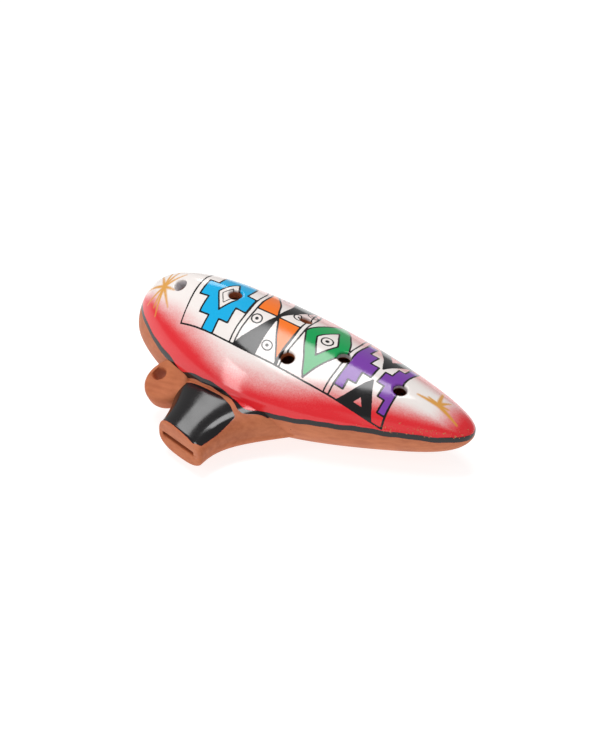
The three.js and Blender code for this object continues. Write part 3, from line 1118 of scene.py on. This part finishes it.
class Sheet:
    """A material's node tree, with one way to add a node."""

    def __init__(self, name: str) -> None:
        """Starts a material with only its shader and output."""
        self.material = bpy.data.materials.new(name)
        self.material.use_nodes = True
        self.tree = self.material.node_tree
        self.shader = self.tree.nodes["Principled BSDF"]

    def add(self, kind: str, inputs: dict | None = None, **settings: object) -> bpy.types.Node:
        """Adds a node.

        Args:
            kind: the node's type.
            inputs: by socket name or number, a value or another node's output to link.
            settings: the node's own properties.
        Returns:
            The node.
        """
        node = self.tree.nodes.new(kind)
        for key, value in settings.items():
            setattr(node, key, value)
        self.set(node, inputs or {})
        return node

    def set(self, node: bpy.types.Node, inputs: dict) -> None:
        """Sets a node's sockets to values, or links them to outputs."""
        for key, value in inputs.items():
            socket = node.inputs[key]
            if isinstance(value, bpy.types.NodeSocket):
                self.tree.links.new(value, socket)
            else:
                socket.default_value = value

    def attribute(self, name: str, output: str = "Fac") -> bpy.types.NodeSocket:
        """Reads one of the piece's per-point values."""
        return self.add("ShaderNodeAttribute", attribute_name=name).outputs[output]

    def noise(self, vector: bpy.types.NodeSocket, across_mm: float, detail: float = 2.0,
              roughness: float = 0.5) -> bpy.types.NodeSocket:
        """Adds cloudy noise.

        Args:
            vector: where it is read.
            across_mm: real size of a cloud.
            detail: how many finer octaves it has.
            roughness: how strong they are.
        Returns:
            Its value, about 0.5.
        """
        return self.add("ShaderNodeTexNoise", {"Vector": vector, "Scale": 1 / (across_mm * MM),
                                               "Detail": detail, "Roughness": roughness}).outputs[0]

    def stretched(self, vector: bpy.types.NodeSocket, scale: tuple) -> bpy.types.NodeSocket:
        """Scales coordinates, so that what reads them is drawn out."""
        return self.add("ShaderNodeMapping", {"Vector": vector, "Scale": scale}).outputs[0]

    def remap(self, value: bpy.types.NodeSocket, low: float = 0.0, high: float = 1.0,
              to_low: float = 0.0, to_high: float = 1.0) -> bpy.types.NodeSocket:
        """Takes low..high to to_low..to_high, and holds the value at the ends."""
        return self.add("ShaderNodeMapRange", {"Value": value, "From Min": low, "From Max": high,
                                               "To Min": to_low, "To Max": to_high}).outputs[0]

    def sums(self, operation: str, *values: object, **settings: object) -> bpy.types.NodeSocket:
        """Does one sum on values or outputs."""
        return self.add("ShaderNodeMath", dict(enumerate(values)), operation=operation,
                        **settings).outputs[0]

    def mix(self, amount: object, first: object, second: object) -> bpy.types.NodeSocket:
        """Goes from the first colour to the second by the amount."""
        return self.add("ShaderNodeMix", {0: amount, 6: first, 7: second}, data_type="RGBA").outputs[2]


@dataclass(frozen=True)
class Layer:
    """One coat of paint, laid where an attribute's distance says.

    With a width it is a line along the zero of the distance; without one it fills where the
    distance is below the offset. A hue of None takes the shape's own colour, the tint attribute.
    """

    attribute: str
    hue: Hue | None
    width: float | None = None
    offset: float = 0.0
    softness: float = 0.07
    strength: float = 1.0


@dataclass(frozen=True)
class Terracotta:
    """Fired low-temperature earthenware, pressed in a mould and wiped smooth with a wet cloth.

    The eye gets a matt orange-brown ground, cloudy from the fire, with fine sand, small pits and
    paler dust where it was wiped. Grain 0.45 mm, clouds 14 mm, pits 2.6 mm apart, and wiping
    marks 2.2 mm apart.
    """

    roughness: float = 0.62
    grain_mm: float = 0.45
    cloud_mm: float = 14.0
    pit_mm: float = 2.6
    wipe_mm: float = 2.2
    evenness: float = 0.62

    def colour(self, sheet: Sheet,
               coordinates: bpy.types.NodeSocket) -> tuple[bpy.types.NodeSocket, ...]:
        """Adds the clay's colour and height.

        Args:
            sheet: the material.
            coordinates: object coordinates.
        Returns:
            The colour and the height outputs.
        """
        hues = (Hue.CLAY, Hue.CLAY_DARK, Hue.CLAY_PALE, Hue.CLAY_PIT)
        clay, dark, pale, hollow = (linear(hue.value) for hue in hues)
        cloud = sheet.noise(coordinates, self.cloud_mm, 4.0, 0.6)
        grain = sheet.noise(coordinates, self.grain_mm, 3.0, 0.7)
        wipe = sheet.noise(sheet.stretched(coordinates, (0.25, 1.0, 1.4)), self.wipe_mm, 3.0)
        cells = sheet.add("ShaderNodeTexVoronoi", {"Vector": coordinates, "Scale": 1 / (self.pit_mm * MM)})
        fired = sheet.remap(sheet.sums("ADD", cloud, wipe), 0.75, 1.3)
        even = sheet.mix(self.evenness, sheet.mix(fired, dark, pale), clay)
        sandy = sheet.mix(sheet.remap(grain, 0.60, 0.74, 0.0, 0.35), even, pale)
        pit = sheet.remap(cells.outputs["Distance"], 0.06, 0.13, 1.0, 0.0)
        rare = sheet.sums("GREATER_THAN", cells.outputs["Color"], 0.80)
        pitted = sheet.sums("MULTIPLY", pit, rare)
        height = sheet.sums("SUBTRACT", sheet.sums("ADD", grain, wipe), pitted)
        return sheet.mix(pitted, sandy, hollow), height

    def material(self, name: str) -> bpy.types.Material:
        """The whole bare finish."""
        sheet = Sheet(name)
        coordinates = sheet.add("ShaderNodeTexCoord").outputs["Object"]
        colour, height = self.colour(sheet, coordinates)
        bump = sheet.add("ShaderNodeBump", {"Height": height, "Strength": 0.35, "Distance": 0.12 * MM})
        sheet.set(sheet.shader, {"Base Color": colour, "Normal": bump.outputs[0],
                                 "Roughness": self.roughness, "Specular IOR Level": 0.35})
        return sheet.material


@dataclass(frozen=True)
class GlossPaint:
    """Brushed and sprayed enamel under a clear lacquer, over fired clay.

    The eye gets flat bright colours with thin black brush lines, a red spray that breaks into fine
    spatter as it fades, and one sharp wet shine over everything but the bare clay.
    """

    roughness: float = 0.11
    spatter_mm: float = 0.5
    drift_mm: float = 5.0
    brush_mm: float = 0.9
    brush_reach: float = 0.12
    flake_mm: float = 1.1

    def material(self, name: str, layers: tuple[Layer, ...], clay: Terracotta, bare: str,
                 sprayed: bool, lined_with_reflection: bool = False) -> bpy.types.Material:
        """Lays the coats over each other and leaves the clay bare where it should be.

        Args:
            name: the material's name.
            layers: the coats, first to last.
            clay: the ground.
            bare: the attribute whose zero is the lacquer's edge.
            sprayed: whether the white ground and the red spray come first. The lacquer then lies
                where that attribute is above zero, and otherwise where it is below.
            lined_with_reflection: whether the holes' walls get their pale grey: partly lacquer, and partly a
                painted reflection of the glossy wall that lightens the shaded hole.
        Returns:
            The material.
        """
        sheet = Sheet(name)
        coordinates = sheet.add("ShaderNodeTexCoord").outputs["Object"]
        clay_colour, clay_height = clay.colour(sheet, coordinates)
        wander = sheet.remap(sheet.noise(coordinates, self.brush_mm), 0.0, 1.0,
                             -self.brush_reach, self.brush_reach)
        current = self.spray(sheet, coordinates) if sprayed else clay_colour
        for layer in layers:
            current = self.lay(sheet, layer, wander, current)
        shaken = sheet.sums("ADD", sheet.attribute(bare), wander)
        below, above = (1.0, 0.0) if sprayed else (0.0, 1.0)
        outside = sheet.remap(shaken, -0.1, 0.1, below, above)
        deep = sheet.remap(sheet.attribute("depth"), 0.8, 1.5)
        uncoated = sheet.sums("MAXIMUM", outside, deep)
        if sprayed:
            uncoated = self.chips(sheet, coordinates, uncoated)
        # Pale grey painted down the holes' walls: partly lacquer, and partly a painted reflection that
        # lightens the shaded hole.
        if lined_with_reflection:
            wall = sheet.sums("MULTIPLY", sheet.attribute("lining"), deep)
            current = sheet.mix(wall, current, linear(Hue.LINING_AND_REFLECTION.value))
            uncoated = sheet.sums("SUBTRACT", uncoated, wall, use_clamp=True)
        final = sheet.mix(uncoated, current, clay_colour)
        drift = sheet.noise(coordinates, self.drift_mm)
        lacquer = sheet.remap(drift, 0.0, 1.0, self.roughness - 0.04, self.roughness + 0.06)
        rough = sheet.add("ShaderNodeMix", {0: uncoated, 2: lacquer, 3: clay.roughness})
        relief = sheet.sums("MULTIPLY", clay_height, uncoated)
        ripple = sheet.sums("MULTIPLY_ADD", drift, 0.25, relief)
        bump = sheet.add("ShaderNodeBump", {"Height": ripple, "Strength": 0.3, "Distance": 0.12 * MM})
        sheet.set(sheet.shader, {"Base Color": final, "Roughness": rough.outputs[0],
                                 "Normal": bump.outputs[0]})
        return sheet.material

    def lay(self, sheet: Sheet, layer: Layer, wander: bpy.types.NodeSocket,
            current: bpy.types.NodeSocket) -> bpy.types.NodeSocket:
        """Lays one coat over what is there.

        Args:
            sheet: the material.
            layer: the coat.
            wander: how far the brush strays.
            current: the colour below.
        Returns:
            The colour with the coat on it.
        """
        distance, limit = sheet.attribute(layer.attribute), layer.offset
        if layer.width is not None:
            distance, limit = sheet.sums("ABSOLUTE", distance), limit + layer.width / 2
        mask = sheet.remap(sheet.sums("ADD", distance, wander), limit - layer.softness,
                           limit + layer.softness, layer.strength, 0.0)
        paint = linear(layer.hue.value) if layer.hue else sheet.attribute("tint", "Color")
        return sheet.mix(mask, current, paint)

    def spray(self, sheet: Sheet, coordinates: bpy.types.NodeSocket) -> bpy.types.NodeSocket:
        """The white ground with the red spray over it, cloudy and spattered as it fades.

        Args:
            sheet: the material.
            coordinates: object coordinates.
        Returns:
            The colour.
        """
        fine = sheet.noise(coordinates, self.spatter_mm)
        cloud = sheet.noise(sheet.stretched(coordinates, (0.3, 1.0, 1.0)), self.drift_mm, 4.0)
        amount = sheet.attribute("spray")
        shake = sheet.remap(sheet.sums("ADD", fine, cloud), 0.6, 1.4, -0.20, 0.20)
        middle = sheet.sums("SUBTRACT", amount, 0.5)
        weight = sheet.remap(sheet.sums("MULTIPLY", middle, middle), 0.0, 0.25, 1.0, 0.12)
        shaken = sheet.sums("MULTIPLY_ADD", shake, weight, amount)
        tinted = sheet.remap(shaken, 0.0, 1.0, 0.03, 1.0)
        return sheet.mix(tinted, linear(Hue.WHITE.value), linear(Hue.RED.value))

    def chips(self, sheet: Sheet, coordinates: bpy.types.NodeSocket,
              uncoated: bpy.types.NodeSocket) -> bpy.types.NodeSocket:
        """Adds small knocks through the paint near the tail, where the seam is handled.

        Args:
            sheet: the material.
            coordinates: object coordinates.
            uncoated: how bare the clay is already.
        Returns:
            How bare it is with the knocks.
        """
        flake = sheet.noise(coordinates, self.flake_mm, 3.0, 0.65)
        worn = sheet.sums("MULTIPLY_ADD", sheet.attribute("wear"), 0.16, flake)
        return sheet.sums("MAXIMUM", uncoated, sheet.remap(worn, 0.76, 0.79))


@dataclass(frozen=True)
class Softbox:
    """A rectangular studio light that looks at the object."""

    name: str
    at: tuple[float, float, float]
    size: tuple[float, float]
    radiance: float
    roll: float = 0.0

    def build(self, target: np.ndarray) -> None:
        """Hangs the light; its power is its radiance times pi times its area.

        Args:
            target: what it looks at, in metres.
        """
        data = bpy.data.lights.new(self.name, "AREA")
        data.shape = "RECTANGLE"
        data.size, data.size_y = self.size
        data.energy = self.radiance * math.pi * self.size[0] * self.size[1]
        lamp = bpy.data.objects.new(self.name, data)
        bpy.context.scene.collection.objects.link(lamp)
        place = np.array(self.at)
        aim = place - target
        aim = aim / np.linalg.norm(aim)
        overhead = abs(aim[2]) > 0.7
        up = np.array([math.sin(self.roll), math.cos(self.roll), 0.0] if overhead else [0, 0, 1.0])
        right = np.cross(up, aim)
        right /= np.linalg.norm(right)
        matrix = np.eye(4)
        matrix[:3, 0], matrix[:3, 1], matrix[:3, 2], matrix[:3, 3] = right, np.cross(aim, right), aim, place
        lamp.matrix_world = Matrix(matrix.tolist())
        lamp.visible_camera = False


@dataclass(frozen=True)
class Studio:
    """A plain white table, soft lights and the camera."""

    target: tuple[float, float, float] = (-0.0003, 0.01434, 0.0204)
    azimuth: float = 32.39
    elevation: float = 28.04
    distance: float = 0.70
    lens: float = 88.06
    boxes: tuple[Softbox, ...] = (
        Softbox("overhead_box", (-0.086, -0.003, 0.80), (0.22, 0.65), 7.5, 0.325),
        Softbox("left_window", (-0.43, -0.67, 0.31), (0.13, 0.62), 7.0),
        Softbox("rear_strip", (-0.43, 0.415, 0.70), (0.30, 0.14), 4.5, -0.82),
        Softbox("front_fill", (0.60, -0.95, 0.55), (0.9, 0.7), 0.5),
    )

    def build(self) -> None:
        """Sets the floor, the world, the lights and the camera."""
        self.floor()
        self.world()
        for box in self.boxes:
            box.build(np.array(self.target))
        self.camera()
        bpy.context.scene.view_settings.view_transform = "Standard"

    def floor(self) -> None:
        """A matt white sheet, twelve metres across, that glows a little as a lit sweep does."""
        u, v = np.meshgrid(np.linspace(-6, 6, 13), np.linspace(-6, 6, 13), indexing="ij")
        sheet = MeshSheet()
        index = sheet.add_points(np.stack([u, v, np.full_like(u, -0.0002)], -1) / MM)
        sheet.add_quads(index)
        floor = sheet.build("floor", Place(0.0, 0.0), {}, closed=False)
        finish = Sheet("white_sweep")
        sweep = finish.add("ShaderNodeTexNoise", {"Scale": 3.0})
        tone = finish.add("ShaderNodeMapRange", {"Value": sweep.outputs[0], "To Min": 0.38, "To Max": 0.40})
        finish.set(finish.shader, {"Base Color": tone.outputs[0], "Roughness": 0.9,
                                   "Specular IOR Level": 0.1,
                                   "Emission Color": linear(Hue.FLOOR.value), "Emission Strength": 0.8})
        floor.data.materials.append(finish.material)

    def world(self) -> None:
        """Even white light from all round."""
        world = bpy.data.worlds.new("studio")
        world.use_nodes = True
        background = world.node_tree.nodes["Background"]
        background.inputs["Color"].default_value = (1.0, 1.0, 1.0, 1.0)
        background.inputs["Strength"].default_value = 0.36
        bpy.context.scene.world = world

    def camera(self) -> None:
        """The camera, at its azimuth from the front and its height above the table."""
        a, e = math.radians(self.azimuth), math.radians(self.elevation)
        back = np.array([math.sin(a) * math.cos(e), -math.cos(a) * math.cos(e), math.sin(e)])
        right = np.array([math.cos(a), math.sin(a), 0.0])
        matrix = np.eye(4)
        matrix[:3, 0], matrix[:3, 1], matrix[:3, 2] = right, np.cross(back, right), back
        matrix[:3, 3] = np.array(self.target) + self.distance * back
        data = bpy.data.cameras.new("camera")
        data.lens = self.lens
        data.sensor_width = 36.0
        data.clip_start = 0.01
        camera = bpy.data.objects.new("camera", data)
        bpy.context.scene.collection.objects.link(camera)
        camera.matrix_world = Matrix(matrix.tolist())
        bpy.context.scene.camera = camera


SHELL_LAYERS = (
    Layer("gold_edge", Hue.GOLD, softness=0.36, strength=0.95),
    Layer("shape_edge", None),
    Layer("inset_edge", Hue.BLACK, width=0.40),
    Layer("shape_edge", Hue.BLACK, width=0.72),
    Layer("rule_edge", Hue.BLACK, width=0.66),
    Layer("eye_edge", Hue.BLACK, width=0.60),
    Layer("eye_edge", Hue.BLACK, offset=-1.35),
    Layer("panel_edge", Hue.BLACK, width=0.72),
    Layer("band_edge", Hue.BLACK),
)
BAND_LAYERS = (Layer("coat_edge", Hue.RED, offset=0.3), Layer("band_edge", Hue.BLACK))


def dress(piece: bpy.types.Object, material: bpy.types.Material) -> None:
    """Puts one finish on a piece, in place of what it had.

    Args:
        piece: the piece.
        material: its finish.
    """
    piece.data.materials.clear()
    piece.data.materials.append(material)


def main() -> None:
    """Builds the pieces in order, dresses them, and sets the studio."""
    logging.basicConfig(level=logging.INFO, format="%(name)s: %(message)s")
    form = VesselForm()
    place = Place.of_shell("upper_shell")
    clay = Terracotta()
    paint = GlossPaint()
    finger = [(23.4, -6.2, 1.0), (47.3, -3.0, 0.0), (75.0, 4.2, 0.0), (79.6, -16.4, 0.0),
              (97.4, -4.8, 0.9), (121.8, -5.2, 0.9)]
    upper_holes = tuple(Hole(x, y, 2.7, 2.7, lining=lining) for x, y, lining in finger)
    lower_holes = (Hole(38, 13, 3.5, 3.5), Hole(104, 5, 3.5, 3.5),
                   Hole(54, -17.6, 8.0, 7.0, squareness=5.0, rim=0.4, margin=2.4))
    bare = clay.material("terracotta_wiped")
    painted = paint.material("enamel_on_clay", SHELL_LAYERS, clay, "bare_edge", True, True)
    banded = paint.material("band_enamel_on_clay", BAND_LAYERS, clay, "coat_edge", False)
    patched = paint.material("black_glaze_on_clay", BAND_LAYERS, clay, "coat_edge", False)
    upper = Shell("upper_shell_painted", "upper_shell", Half.UPPER, Slot.PAINTED, upper_holes, form)
    lower = Shell("lower_shell_clay", "lower_shell", Half.LOWER, Slot.BARE, lower_holes, form)
    mouth = Mouthpiece(form)
    built = [
        (upper.build(place, Decoration(form)), painted),
        (lower.build(place, Decoration(form)), banded),
        (mouth.build(place, True), patched),
        (mouth.build(place, False), bare),
        (Ear(form).build(place), bare),
        (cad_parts["labium"], bare),
        (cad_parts["seam_coil"], bare),
    ]
    for piece, material in built:
        dress(piece, material)
        LOG.info("%s: %d points, %d faces", piece.name, len(piece.data.vertices), len(piece.data.polygons))
    Studio().build()


if __name__ == "__main__":
    main()
